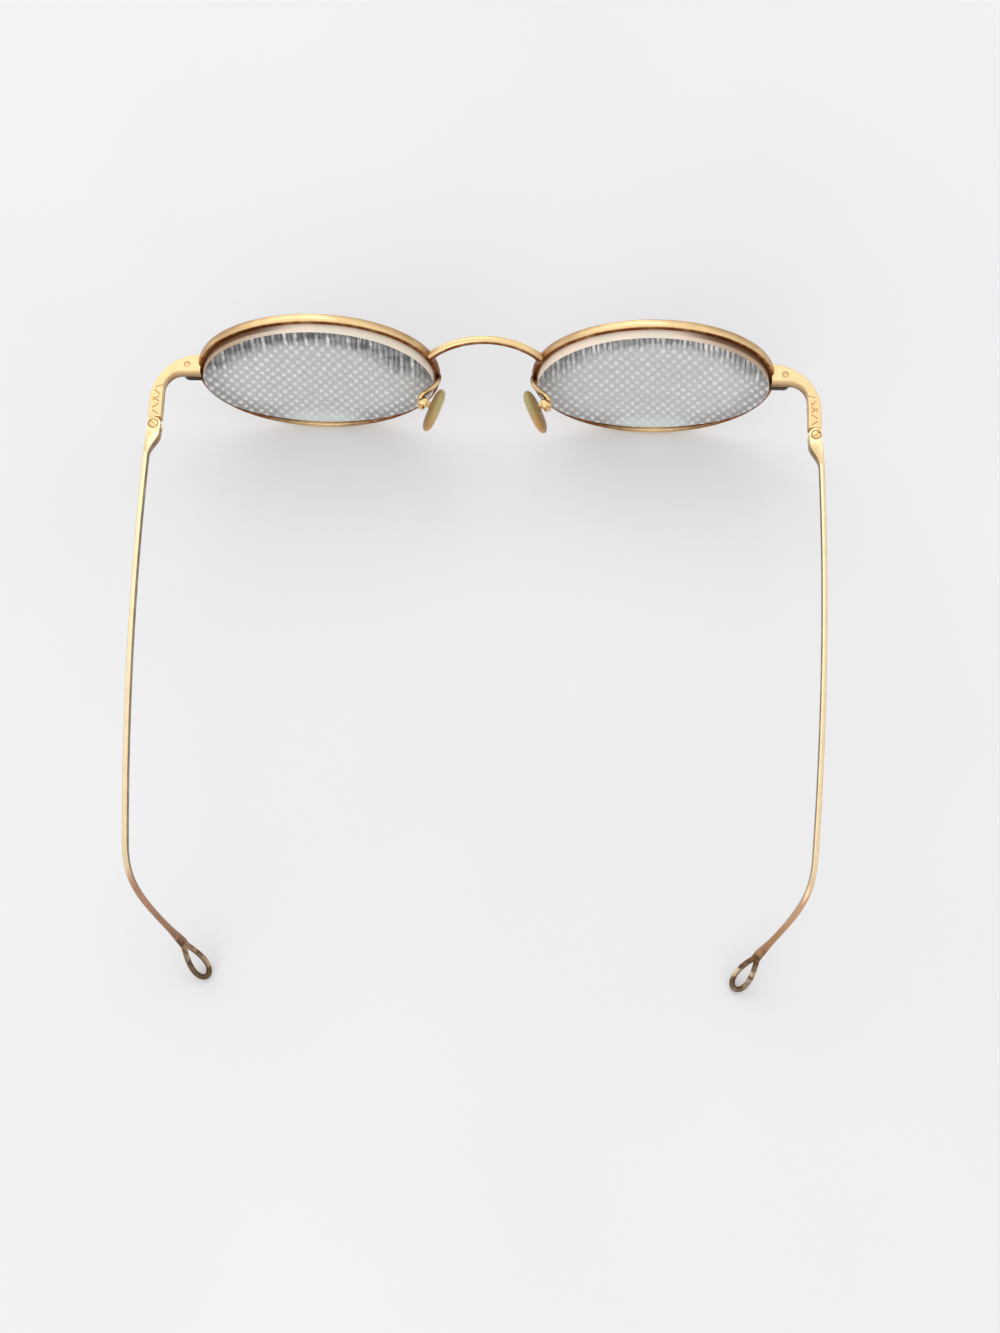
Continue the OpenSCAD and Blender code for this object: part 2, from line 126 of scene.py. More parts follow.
def sweep(path, section, up=(0, 0, 1), closed=False, firstWay=None):
    # ring = path point + across * section x + over * section y; across = way x up, over = across x way
    if closed:
        way = np.roll(path, -1, 0) - np.roll(path, 1, 0)
    else:
        way = np.gradient(path, axis=0)
        if firstWay is not None:
            way[0] = firstWay
    way = unit(way)
    across = unit(np.cross(way, up))
    over = np.cross(across, way)
    return path[:, None] + across[:, None] * section[..., :1] + over[:, None] * section[..., 1:]


def lowerShade(grid, path, start=0.42, blend=0.3):
    # painted shade: 0 to 1 as the skin of a wire turns down and back: smooth step of outward . (0, -0.94,
    # -0.34)
    outward = unit(grid - path[:, None])
    return smoothStep((outward @ np.array([0.0, -0.94, -0.34]) - start) / blend)


def gridPart(grid, alongClosed=False):
    # grid (rings, points, 3) as quads between neighbours; an open end is a fan to the middle of its ring
    m, n = grid.shape[:2]
    points = grid.reshape(-1, 3)
    i, j = np.arange(m if alongClosed else m - 1)[:, None], np.arange(n)[None, :]
    i2, j2 = (i + 1) % m, (j + 1) % n
    quads = np.stack(np.broadcast_arrays(i * n + j, i * n + j2, i2 * n + j2, i2 * n + j), -1)
    faces = quads.reshape(-1, 4).tolist()
    openEnds = () if alongClosed else ((0, -1), (m - 1, 1))
    for ring, order in openEnds:
        fan = np.stack([np.full(n, len(points)), ring * n + j[0], ring * n + j2[0]], -1)
        points = np.vstack([points, grid[ring].mean(0)])
        faces += fan[:, ::order].tolist()
    return points, faces


def outwards(points, faces):
    # a closed shell has a positive volume when its faces point out: sum of a . (b x c) over the triangles
    tri = np.array([(f[0], f[k], f[k + 1]) for f in faces for k in range(1, len(f) - 1)])
    a, b, c = points[tri[:, 0]], points[tri[:, 1]], points[tri[:, 2]]
    return faces if np.einsum("ij,ij->", a, np.cross(b, c)) > 0 else [f[::-1] for f in faces]


def newObject(name, data):
    made = bpy.data.objects.new(name, data)
    bpy.context.scene.collection.objects.link(made)
    return made


def buildPiece(name, parts, side, materials, body, nodes, sharp=38, marks=None, faceKind=None):
    # parts are closed shells in mm for the +X side, mirrored in x for the other; marks hold a value for each
    # point, and the last points, the middles of caps, keep 0
    allPoints, allFaces, start = [], [], 0
    for points, faces in parts:
        points = points * np.array([side, 1, 1])
        faces = outwards(points, faces)
        allFaces += [[k + start for k in f] for f in faces]
        allPoints.append(points)
        start += len(points)
    points = np.vstack(allPoints)
    mesh = bpy.data.meshes.new(name)
    mesh.from_pydata((points * mm).tolist(), [], allFaces)
    mesh.update()
    mesh.shade_smooth()
    mesh.set_sharp_from_angle(angle=np.radians(sharp))
    for material in materials:
        mesh.materials.append(material)
    for markName, values in (marks or {}).items():
        layer = mesh.attributes.new(markName, "FLOAT", "POINT")
        padded = np.zeros(len(points), np.float32)
        padded[:values.size] = values.ravel()
        layer.data.foreach_set("value", padded)
    if faceKind is not None:
        mesh.polygons.foreach_set("material_index", faceKind(mesh).astype(np.int32))
    piece = newObject(name, mesh)
    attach(piece, body)
    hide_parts(*nodes)


# Material helpers

def setInputs(tree, node, values):
    # a socket is linked, anything else becomes the input's own value
    for key, value in values.items():
        if isinstance(value, bpy.types.NodeSocket):
            tree.links.new(value, node.inputs[key])
        else:
            node.inputs[key].default_value = value


def addNode(tree, kind, inputs=None, **settings):
    node = tree.nodes.new(kind)
    for key, value in settings.items():
        setattr(node, key, value)
    setInputs(tree, node, inputs or {})
    return node


def maths(tree, operation, a, b=0.0, clamp=False):
    return addNode(tree, "ShaderNodeMath", {0: a, 1: b}, operation=operation, use_clamp=clamp).outputs[0]


def times(tree, a, b, clamp=False):
    return maths(tree, "MULTIPLY", a, b, clamp)


def plus(tree, a, b, clamp=False):
    return maths(tree, "ADD", a, b, clamp)


def swing(tree, value, amount):
    # a noise of 0 to 1 made to swing about 0: (value - 0.5) * amount
    return times(tree, maths(tree, "SUBTRACT", value, 0.5), amount)


def radial(tree, a, b):
    # square root of a^2 + b^2
    return maths(tree, "SQRT", plus(tree, maths(tree, "POWER", a, 2.0), maths(tree, "POWER", b, 2.0)))


def mixColour(tree, share, a, b):
    # a (1 - share) + b share
    return addNode(tree, "ShaderNodeMix", {0: share, 6: a, 7: b}, data_type="RGBA").outputs[2]


def ramp(tree, value, low, high, toLow=0.0, toHigh=1.0):
    # smooth step from toLow at low to toHigh at high
    return addNode(tree, "ShaderNodeMapRange", {"Value": value, "From Min": low, "From Max": high,
                                                "To Min": toLow, "To Max": toHigh},
                   interpolation_type="SMOOTHSTEP").outputs["Result"]


def noise(tree, point, scale, detail, roughness=0.5):
    return addNode(tree, "ShaderNodeTexNoise", {"Vector": point, "Scale": scale, "Detail": detail,
                                                "Roughness": roughness}).outputs["Fac"]


def pointMark(tree, name):
    # a value that the piece carries on its points, 0 where it has none
    return addNode(tree, "ShaderNodeAttribute", attribute_name=name).outputs["Fac"]


def bumped(tree, height, strength, deep):
    # normal bent by a height of 0 to 1 that is `deep` millimetres
    return addNode(tree, "ShaderNodeBump", {"Height": height, "Strength": strength,
                                            "Distance": deep * mm}).outputs[0]


def objectPoint(tree):
    return addNode(tree, "ShaderNodeTexCoord").outputs["Object"]


def alongAxis(tree, point, origin, axis, side):
    # millimetres from the origin along an axis, both mirrored for the other side: (point - origin) . axis
    flip = np.array([side, 1, 1])
    away = addNode(tree, "ShaderNodeVectorMath", {0: point, 1: tuple(origin * flip * mm)},
                   operation="SUBTRACT")
    dot = addNode(tree, "ShaderNodeVectorMath", {0: away.outputs[0], 1: tuple(axis * flip / mm)},
                  operation="DOT_PRODUCT")
    return dot.outputs["Value"]


def newGroup(name, inputs, outputs):
    # sockets by name and first value; a tuple makes a colour socket, a number a plain one
    group = bpy.data.node_groups.new(name, "ShaderNodeTree")
    for way, sockets in (("INPUT", inputs), ("OUTPUT", outputs)):
        for title, value in sockets.items():
            kind = "NodeSocketColor" if isinstance(value, tuple) else "NodeSocketFloat"
            group.interface.new_socket(title, in_out=way, socket_type=kind).default_value = value
    return group, addNode(group, "NodeGroupInput").outputs, addNode(group, "NodeGroupOutput")


def newMaterial(name):
    material = bpy.data.materials.new(name)
    material.use_nodes = True
    tree = material.node_tree
    tree.nodes.clear()
    shader = addNode(tree, "ShaderNodeBsdfPrincipled")
    tree.links.new(shader.outputs[0], addNode(tree, "ShaderNodeOutputMaterial").inputs["Surface"])
    return material, tree, shader


def useGroup(tree, group, values):
    return addNode(tree, "ShaderNodeGroup", values, node_tree=group).outputs


def rgb(r, g, b):
    # sRGB 0-255 to linear
    c = np.array([r, g, b]) / 255
    return tuple(np.where(c <= 0.04045, c / 12.92, ((c + 0.055) / 1.055)**2.4)) + (1.0,)


# Worn plating: cloudy colour and fine scratches, and a darker skin that each piece feeds in, mostly painted
# shade
wornLook = dict(grainScale=5200.0, scratchScale=(5200.0, 420.0, 5200.0), spots=0.08)


def makeWornShadeGroup():
    # dull share = spots of the cloud + (painted shade and tarnish) * cloud; roughness = scratches + share +
    # grain
    group, given, out = newGroup("wornPlatingAndShade", {"Bright": rgb(250, 214, 150), "Dull": rgb(150, 104, 58),
                                                 "Shade And Tarnish": 0.0, "Cloud Size": 500.0},
                                 {"Color": rgb(0, 0, 0), "Roughness": 0.0, "Height": 0.0})
    point = objectPoint(group)
    cloud = noise(group, point, given["Cloud Size"], 2.0, 0.6)
    grain = noise(group, point, wornLook["grainScale"], 2.0)
    stretched = addNode(group, "ShaderNodeVectorMath", {0: point, 1: wornLook["scratchScale"]},
                        operation="MULTIPLY")
    scratch = noise(group, stretched.outputs[0], 1.0, 3.0)
    spots = times(group, ramp(group, cloud, 0.44, 0.72), wornLook["spots"])
    skin = times(group, given["Shade And Tarnish"], ramp(group, cloud, 0.2, 0.6, 0.7, 1.0))
    share = plus(group, spots, skin, clamp=True)
    rough = plus(group, ramp(group, scratch, 0.35, 0.75, 0.0, 0.12), times(group, share, 0.2))
    setInputs(group, out, {"Color": mixColour(group, share, given["Bright"], given["Dull"]),
                           "Roughness": plus(group, rough, ramp(group, grain, 0.3, 0.8, 0.16, 0.24)),
                           "Height": plus(group, times(group, scratch, 0.6), times(group, grain, 0.4))})
    return group


wornPlatingAndShade = makeWornShadeGroup()


def makeSideShadeGroup():
    # painted side shade: 0 on faces that look up, 1 on faces that look sideways or down, a ramp of the
    # normal's Z
    group, given, out = newGroup("sideShade", {"From": 0.55, "To": 0.1}, {"Mask": 0.0})
    normal = addNode(group, "ShaderNodeTexCoord").outputs["Normal"]
    up = addNode(group, "ShaderNodeSeparateXYZ", {0: normal}).outputs["Z"]
    setInputs(group, out, {"Mask": ramp(group, up, given["From"], given["To"])})
    return group


sideShade = makeSideShadeGroup()


def platedFinish(tree, shader, look, bright, dull, shadeAndTarnish):
    # the worn plating with its painted shade on a metal shader, its grain as a bump 0.03 mm deep
    worn = useGroup(tree, wornPlatingAndShade, {"Bright": bright, "Dull": dull, "Shade And Tarnish": shadeAndTarnish,
                                        "Cloud Size": look["cloud"]})
    setInputs(tree, shader, {"Base Color": worn["Color"], "Roughness": worn["Roughness"], "Metallic": 1.0,
                             "Normal": bumped(tree, worn["Height"], look["bump"], 0.03)})


def metalMaterial(name, look, extraDarkMask=None):
    # plating darkened by the largest of: painted side shade, the piece's "dull" points (painted shade), its
    # "engraved" points, an extra mask
    material, tree, shader = newMaterial(name)
    skin = useGroup(tree, sideShade, {"From": look["shadeFrom"], "To": look["shadeTo"]})["Mask"]
    mask = times(tree, skin, look["side"])
    for markName in ("dull", "engraved"):
        mask = maths(tree, "MAXIMUM", mask, times(tree, pointMark(tree, markName), look[markName + "Share"]))
    if extraDarkMask:
        mask = maths(tree, "MAXIMUM", mask, extraDarkMask(tree))
    platedFinish(tree, shader, look, look["bright"], look["dull"], mask)
    return material


# Camera, light, floor

cameraLook = dict(place=(13.582, -142.476, 402.232), right=(0.9995529, 0.0264465, -0.0139482),
                  up=(-0.0201154, 0.9399568, 0.3407019), focal=2085.47, imageWide=1000, sensor=36.0)
cameraData = bpy.data.cameras.new("photoCamera")
cameraData.sensor_fit = "HORIZONTAL"
cameraData.sensor_width = cameraLook["sensor"]
cameraData.lens = cameraLook["sensor"] * cameraLook["focal"] / cameraLook["imageWide"]
cameraData.clip_start = 0.01
camera = newObject("photoCamera", cameraData)
rightWay = Vector(cameraLook["right"]).normalized()
upWay = (Vector(cameraLook["up"]) - rightWay * rightWay.dot(Vector(cameraLook["up"]))).normalized()
placed = Matrix((rightWay, upWay, rightWay.cross(upWay))).transposed().to_4x4()
placed.translation = Vector(cameraLook["place"]) * mm
camera.matrix_world = placed
bpy.context.scene.camera = camera

# in metres; each lamp: its name, its place, the width of its disc, its power in watts
studio = dict(floorRadius=3.0, floorUnder=0.0001, floorColour=rgb(242, 242, 243),
              floorDrift=rgb(233, 233, 235), backdrop=rgb(238, 238, 239), horizon=0.68, overhead=0.97,
              lamps=[("keyLamp", (-0.55, 1.0, 0.75), 1.4, 2.4), ("fillLamp", (-0.5, -0.9, 0.6), 0.9, 1.4),
                     ("topLamp", (0.0, 0.80, 1.28), 0.36, 0.6)])
for lampName, place, size, power in studio["lamps"]:
    lampData = bpy.data.lights.new(lampName, "AREA")
    lampData.shape = "DISK"
    lampData.size = size
    lampData.energy = power
    lamp = newObject(lampName, lampData)
    lamp.location = place
    lamp.rotation_euler = (-Vector(place)).to_track_quat("-Z", "Y").to_euler()

world = bpy.data.worlds.new("softStudio")
bpy.context.scene.world = world
world.use_nodes = True
sky = world.node_tree
sky.nodes.clear()
# the light grows from the horizon to the zenith; the camera itself sees the even backdrop
skyWay = addNode(sky, "ShaderNodeTexCoord").outputs["Generated"]
height = addNode(sky, "ShaderNodeSeparateXYZ", {0: skyWay}).outputs["Z"]
level = ramp(sky, height, 0.0, 0.8, studio["horizon"], studio["overhead"])
tint = mixColour(sky, level, (0, 0, 0, 1), (1, 1, 1, 1))
tint = mixColour(sky, addNode(sky, "ShaderNodeLightPath").outputs["Is Camera Ray"], tint, studio["backdrop"])
addNode(sky, "ShaderNodeOutputWorld",
        {"Surface": addNode(sky, "ShaderNodeBackground", {"Color": tint, "Strength": 1.0}).outputs[0]})

floorMaterial, floorTree, floorShader = newMaterial("paleFloor")
drift = noise(floorTree, objectPoint(floorTree), 9.0, 2.0)
setInputs(floorTree, floorShader,
          {"Base Color": mixColour(floorTree, drift, studio["floorColour"], studio["floorDrift"]),
           "Roughness": 0.8, "Specular IOR Level": 0.05})
disc = circle(fullTurn(64)) * studio["floorRadius"]
floorMesh = bpy.data.meshes.new("floor")
floorMesh.from_pydata([(x, y, -studio["floorUnder"]) for x, y in disc], [], [range(len(disc))])
floorMesh.materials.append(floorMaterial)
newObject("floor", floorMesh)
bpy.context.scene.view_settings.view_transform = "Standard"
print("camera, lamps and floor set")


# End piece sizes, which also place the hinge pin
endLook = dict(high=2.6, inner=1.5, outer=1.15, outerRadius=10.2, innerRadius=3.6, hingeOut=7.75,
               hingeBack=14.25, lockBack=2.1, lockFront=1.9, gap=0.08, edge=0.22, steps=340, across=44,
               into=0.9, overSlit=0.15, notches=6, notchDeep=0.13, notchWide=0.13, notchLong=0.85,
               notchRun=8.6, notchSlant=35.0, legLong=4.3, legToNotch=1.0, lockOut=1.8, lockDown=0.5,
               lockRadius=0.66, knuckleDown=0.8, knuckleHigh=1.0)


def endPlaces():
    # outer end of the rim after tilt, wrap and lean, and the top of the strip, a little over the rim's slit
    tilt, lean, wrap = np.radians([front["tilt"], front["lean"], front["wrap"]])
    endX = eyeMiddle[0] + rimHalfWide * np.cos(tilt) * np.cos(wrap)
    endY = rimHalfWide * np.sin(tilt) * np.sin(lean) - rimHalfWide * np.sin(wrap) + front["yShift"]
    slitZ = eyeMiddle[2] + rimHalfWide * np.sin(tilt) * np.cos(lean)
    return endX, endY, slitZ + endLook["overSlit"] + endLook["high"]


endX, endY, topZ = endPlaces()
pinX, pinY = endX + endLook["hingeOut"], front["yShift"] - endLook["hingeBack"]


# Metals

# side is the share of dull colour on the painted side shade, cloud the scale of the patches
plainGold = dict(bright=rgb(252, 219, 165), dull=rgb(112, 76, 40), side=0.15, shadeFrom=0.5, shadeTo=0.0,
                 dullShare=1.0, engravedShare=0.6, cloud=420.0, bump=0.03)
rimGold = dict(plainGold, bright=rgb(255, 220, 164), dull=rgb(126, 70, 28), side=0.0, bump=0.01)
endGold = dict(plainGold, bright=rgb(248, 210, 156))
blockGold = dict(plainGold, bright=rgb(246, 216, 166), side=0.8)
armGold = dict(plainGold, bright=rgb(240, 206, 150), dull=rgb(96, 58, 24), side=0.85)
cupGold = dict(plainGold, bright=rgb(252, 220, 158), dull=rgb(120, 80, 38), side=0.5)
# the lock block is dark all over: painted shade, for the shadow it sits in under the end piece
lockShadeGold = dict(plainGold, bright=rgb(120, 88, 50), dull=rgb(52, 38, 22), side=1.0)
screwGold = dict(plainGold, bright=rgb(244, 206, 148))
tipGold = dict(plainGold, bright=rgb(238, 215, 174), dull=rgb(118, 98, 60))
ringLook = dict(inside=(0.72, 0.84), outside=(1.12, 1.02), weight=0.55)


def screwRing(tree):
    # a dark ring where the head of the hinge screw meets its seat, from the distance to the pin axis
    spot = addNode(tree, "ShaderNodeSeparateXYZ", {0: objectPoint(tree)}).outputs
    dx = maths(tree, "SUBTRACT", maths(tree, "DIVIDE", maths(tree, "ABSOLUTE", spot["X"]), mm), pinX)
    dy = maths(tree, "SUBTRACT", maths(tree, "DIVIDE", spot["Y"], mm), pinY)
    away = radial(tree, dx, dy)
    ring = times(tree, ramp(tree, away, *ringLook["inside"]), ramp(tree, away, *ringLook["outside"]))
    return times(tree, ring, ringLook["weight"])


goldRim = metalMaterial("goldRim", rimGold)
goldEnd = metalMaterial("goldEnd", endGold)
goldBlock = metalMaterial("goldBlock", blockGold, screwRing)
goldArm = metalMaterial("goldArm", armGold)
goldCup = metalMaterial("goldCup", cupGold)
goldScrew = metalMaterial("screwGold", screwGold, screwRing)
goldLockShaded = metalMaterial("lockShadedGold", lockShadeGold)


# Rims

rimLook = dict(lip=0.45, lipRound=0.12, grooveWide=0.8, crown=0.22, edge=0.24, slit=0.3, steps=288,
               bandSteps=9, cornerSteps=4)


def rimProfile():
    # closed loop in (outward, across): crowned outer face, round edges, two lips and the groove between them
    look = rimLook
    half, edge, lipRound = front["rimWide"] / 2, look["edge"], look["lipRound"]
    z = np.linspace(-half + edge, half - edge, look["bandSteps"])
    outer = np.stack([front["rimWall"] - look["crown"] * (z / half)**2, z], -1)
    angle = np.radians(np.linspace(75, 0, look["cornerSteps"]))
    corner = np.stack([outer[-1, 0] - edge + edge * np.sin(angle), half - edge + edge * np.cos(angle)], -1)
    lip = np.array([[-look["lip"] + lipRound, half], [-look["lip"], half - lipRound],
                    [-look["lip"], look["grooveWide"] / 2], [0.0, look["grooveWide"] / 2 - lipRound]])
    upper = np.vstack([corner, lip])
    return np.vstack([outer, upper, upper[::-1] * [1, -1]])


def rimAngles():
    # from one face of the slit to the other, closer together at the two ends of the oval
    start = np.arcsin((rimLook["slit"] / 2) / (front["lensHigh"] / 2))
    u = np.linspace(start, 2 * np.pi - start, rimLook["steps"])
    return u - 0.12 * np.sin(2 * u)


def rimGrid():
    # the profile carried round the oval: ellipse point pushed out by its first value, second value across
    profile = rimProfile()
    u = rimAngles()[:, None] + 0 * profile[:, 0]
    return eyeToFrame(np.dstack([ovalOffset(u, profile[:, 0]), 0 * u + profile[:, 1]]))


# shares of the dull colour, painted shade on the rim: corners from the band to the lip, band from the front
# to the back; the last share is taken off at the bottom middle, a painted highlight
rimShading = dict(backCorner=[0.1, 0.5, 0.9, 1.0], frontCorner=[0.5, 0.7, 0.9, 1.0], band=(0.85, 0.1),
               bandTop=0.6, outside=0.6, low=0.6, bottomHighlight=0.85)


def rimShadeMarks():
    # painted shade, the largest of five, by the angle u round the oval and the place round the wire: lips,
    # front of the outer band (away from the top), nasal end, outer end, low on each side; all less at the
    # bottom middle, a painted highlight
    look = rimShading
    u = rimAngles()[:, None]
    lips = np.ones(len(rimProfile()) - rimLook["bandSteps"] - 2 * rimLook["cornerSteps"])
    around = np.concatenate([np.zeros(rimLook["bandSteps"]), look["backCorner"], lips,
                             look["frontCorner"][::-1]])
    band = np.zeros(len(around))
    band[:rimLook["bandSteps"]] = np.linspace(*look["band"], rimLook["bandSteps"])
    top, bottom = 0.5 * np.pi, 1.5 * np.pi
    around = np.maximum(around, band * (1 - np.exp(-((u - top) / look["bandTop"])**2)))
    nose = 1 - smoothStep((np.abs(u - np.pi) - 0.35) / 0.45)
    outside = look["outside"] * (1 - smoothStep((np.minimum(u, 2 * np.pi - u) - 0.3) / 0.5))
    low = look["low"] * smoothStep((np.abs(u - bottom) - 0.25) / 0.35) * smoothStep((u - np.pi) / 0.3)
    bottomHighlight = 1 - look["bottomHighlight"] * np.exp(-((u - bottom) / 0.3)**2)
    return np.maximum(around, np.maximum(nose, np.maximum(outside, low))) * bottomHighlight


for sideName, side in sides.items():
    buildPiece("rimWire_" + sideName, [gridPart(rimGrid())], side, [goldRim], "front",
               ["rim_" + sideName], marks={"dull": rimShadeMarks()})
print("rims made")


# Lenses

lensLook = dict(middle=1.5, frontRadius=250.0, backRadius=118.0, drop=7.6, front=-1.6, body=-0.5, bevel=-0.05,
                bevelTip=0.06, footFront=0.34, footBack=0.35, rings=30, steps=256, chamfer=0.16,
                reachWide=23.6, reachHigh=18.2, dotWide=2.12, dotHigh=1.8, slant=0.11, sagging=0.0045,
                gathering=0.01, ragged=0.25, wobble=2.1, lowHighlight=rgb(232, 242, 240))
lensTone = {"right": dict(low=rgb(199, 199, 198), high=rgb(212, 211, 210), dark=rgb(84, 84, 84),
                          dot=rgb(247, 246, 244), streaks=(0.66, 1.0), darker=(0.64, 0.98), between=0.8,
                          faint=0.5, noseward=0.0),
            "left": dict(low=rgb(195, 194, 192), high=rgb(210, 209, 207), dark=rgb(54, 56, 58),
                         dot=rgb(250, 249, 247), streaks=(0.54, 0.95), darker=(0.54, 0.88), between=0.45,
                         faint=0.6, noseward=0.005)}


def lensGrid():
    # rings from the front pole to the back pole: front sphere, edge with its bevel, hollow back sphere
    look = lensLook
    u = fullTurn(look["steps"])

    def faceRing(share, back):
        flat = ovalOffset(u, look["body"] - look["chamfer"]) * share
        if back:
            rho2 = flat[:, 0]**2 + (flat[:, 1] + look["drop"])**2
            z = look["front"] + look["middle"] + look["backRadius"] - np.sqrt(look["backRadius"]**2 - rho2)
        else:
            rho2 = (flat**2).sum(1)
            z = look["front"] + look["frontRadius"] - np.sqrt(look["frontRadius"]**2 - rho2)
        return np.column_stack([flat, z])

    def edgeRing(d, z):
        return np.column_stack([ovalOffset(u, d), z + 0 * u])

    shares = np.linspace(0.04, 1, look["rings"])
    fronts = [faceRing(s, False) for s in shares]
    backs = [faceRing(s, True) for s in shares[::-1]]
    frontZ, backZ, tip, foot = fronts[-1][:, 2], backs[0][:, 2], look["bevelTip"], look["footBack"]
    edge = [edgeRing(look["body"], frontZ + 0.1),
            edgeRing(look["body"], np.maximum(frontZ + 0.15, -look["footFront"])),
            edgeRing(look["bevel"], np.maximum(frontZ + 0.2, -tip)),
            edgeRing(look["bevel"], tip),
            edgeRing(look["body"], foot),
            edgeRing(look["body"], (foot + backZ - look["chamfer"]) / 2),
            edgeRing(look["body"], backZ - look["chamfer"])]
    return eyeToFrame(np.array(fronts + edge + backs))


def lensPattern(sideName, side):
    # painted refraction, the dotted cloth under the lens as seen through it: soft pale dots on a staggered
    # lattice, the square of a ramp of cos(across) * cos(down), closer together low down; in a zone under the
    # top edge only cos(across) stays: they run out into streaks on darker grey, painted shade
    look, tone = lensLook, lensTone[sideName]
    material, tree, shader = newMaterial("lensPaintedView_" + sideName)
    point = objectPoint(tree)
    x = alongAxis(tree, point, eyeMiddle, eyeTurn[:, 0], side)
    y = alongAxis(tree, point, eyeMiddle, eyeTurn[:, 1], side)
    wobble, blotch = noise(tree, point, 240.0, 2.0), noise(tree, point, 330.0, 1.0)
    fine = noise(tree, point, 1300.0, 3.0)
    flow = addNode(tree, "ShaderNodeCombineXYZ", {0: times(tree, x, 0.9), 1: times(tree, y, 0.12)})
    thread = noise(tree, flow.outputs[0], 1.0, 3.0)
    # share of the way to the edge, 0 in the middle and 1 on the oval, then the same with an uneven line
    reach = radial(tree, maths(tree, "DIVIDE", x, look["reachWide"]),
                   maths(tree, "DIVIDE", y, look["reachHigh"]))
    ragged = plus(tree, reach, swing(tree, thread, look["ragged"]))
    ragged = plus(tree, ragged, times(tree, x, -tone["noseward"]))
    upper = ramp(tree, y, -1.0, 8.0)
    zone = times(tree, ramp(tree, ragged, *tone["streaks"]), upper)
    zone = times(tree, zone, maths(tree, "SUBTRACT", 2.0, zone))
    # row height = y + slant x - sagging x^2 - gathering y^2
    row = plus(tree, y, times(tree, x, side * look["slant"]))
    row = maths(tree, "SUBTRACT", row, times(tree, times(tree, x, x), look["sagging"]))
    row = maths(tree, "SUBTRACT", row, times(tree, times(tree, y, y), look["gathering"]))
    bend = swing(tree, wobble, look["wobble"])
    columns = maths(tree, "COSINE", plus(tree, times(tree, x, 2 * np.pi / look["dotWide"]), bend))
    rows = maths(tree, "COSINE", plus(tree, times(tree, row, np.pi / look["dotHigh"]), bend))
    dots = ramp(tree, times(tree, columns, rows), -0.75, 1.0)
    dots = times(tree, times(tree, dots, dots), ramp(tree, blotch, 0.3, 0.7, tone["faint"], 1.0))
    ridge = maths(tree, "MAXIMUM", columns, times(tree, times(tree, columns, -1.0), tone["between"]))
    streaks = times(tree, ramp(tree, ridge, 0.1, 1.0), ramp(tree, thread, 0.38, 0.6, 0.2, 1.1))
    streaks = times(tree, streaks, ramp(tree, wobble, 0.32, 0.62, 0.35, 1.1))
    pale = addNode(tree, "ShaderNodeMix", {0: zone, 2: dots, 3: streaks}, data_type="FLOAT").outputs[0]
    grey = mixColour(tree, ramp(tree, fine, 0.3, 0.7), tone["low"], tone["high"])
    # painted shade: darker grey in the zone under the top edge
    gloom = times(tree, ramp(tree, ragged, *tone["darker"]), upper)
    gloom = times(tree, gloom, ramp(tree, blotch, 0.3, 0.7, 0.6, 1.15), clamp=True)
    grey = mixColour(tree, gloom, grey, tone["dark"])
    # painted shade: darker grey towards the oval edge
    grey = mixColour(tree, ramp(tree, reach, 0.7, 1.02, 0.0, 0.5), grey, tone["dark"])
    dotted = mixColour(tree, times(tree, pale, 0.8, clamp=True), grey, tone["dot"])
    # painted highlight: a pale bluish patch low in the middle
    lowHighlight = times(tree, ramp(tree, y, -12.5, -16.8), ramp(tree, maths(tree, "ABSOLUTE", x), 12.0, 4.0))
    setInputs(tree, shader, {"Base Color": mixColour(tree, times(tree, lowHighlight, 0.8), dotted, look["lowHighlight"]),
                             "Roughness": ramp(tree, fine, 0.3, 0.7, 0.1, 0.16), "Specular IOR Level": 0.3,
                             "IOR": 1.5, "Alpha": ramp(tree, pale, 0.0, 1.0, 0.9, 0.98)})
    return material


# tan and brown, both painted shade, grow between these distances out from the lens centre; brown ends this
# far behind the rim
edgeTone = dict(pink=rgb(250, 230, 210), cream=rgb(238, 228, 210), tan=rgb(166, 128, 92),
                brown=rgb(104, 66, 34), tanFrom=(2.0, 18.0), brownFrom=(3.0, 13.0), brownDeep=(2.15, 1.7))


def frostedEdge(sideName, side):
    # ground lens edge: pale, faintly pink, with fine grinding marks; painted shade: tan to its outer end,
    # brown at the rim
    tone = edgeTone
    material, tree, shader = newMaterial("lensGroundEdge_" + sideName)
    point = objectPoint(tree)
    cloud, grind = noise(tree, point, 210.0, 3.0), noise(tree, point, 4200.0, 3.0)
    outward = alongAxis(tree, point, eyeMiddle, eyeTurn[:, 0], side)
    behind = alongAxis(tree, point, eyeMiddle, eyeTurn[:, 2], side)
    colour = mixColour(tree, ramp(tree, cloud, 0.35, 0.65), tone["pink"], tone["cream"])
    colour = mixColour(tree, ramp(tree, outward, *tone["tanFrom"], 0.0, 0.75), colour, tone["tan"])
    nearRim = times(tree, ramp(tree, outward, *tone["brownFrom"]), ramp(tree, behind, *tone["brownDeep"]))
    setInputs(tree, shader, {"Base Color": mixColour(tree, times(tree, nearRim, 0.85), colour, tone["brown"]),
                             "Roughness": ramp(tree, grind, 0.3, 0.7, 0.35, 0.55),
                             "Normal": bumped(tree, grind, 0.2, 0.04)})
    return material


def lensZones(mesh):
    # 0 on the two polished faces, 1 round the edge: told by how square the face stands to the lens axis
    normals = np.zeros(len(mesh.polygons) * 3)
    mesh.polygons.foreach_get("normal", normals)
    axis = eyeTurn[:, 2] * np.array([np.sign(mesh.vertices[0].co.x), 1, 1])
    return (np.abs(normals.reshape(-1, 3) @ axis) < 0.8).astype(int)


for sideName, side in sides.items():
    buildPiece("lens_oval_" + sideName, [gridPart(lensGrid())], side,
               [lensPattern(sideName, side), frostedEdge(sideName, side)], "front",
               ["lens_" + sideName], sharp=30, faceKind=lensZones)
print("lenses made")


# Bridge

bridgeLook = dict(thick=1.7, up=6.8, rise=3.5, reach=1.8, steps=96, around=28, flare=0.16, flareLong=1.0)


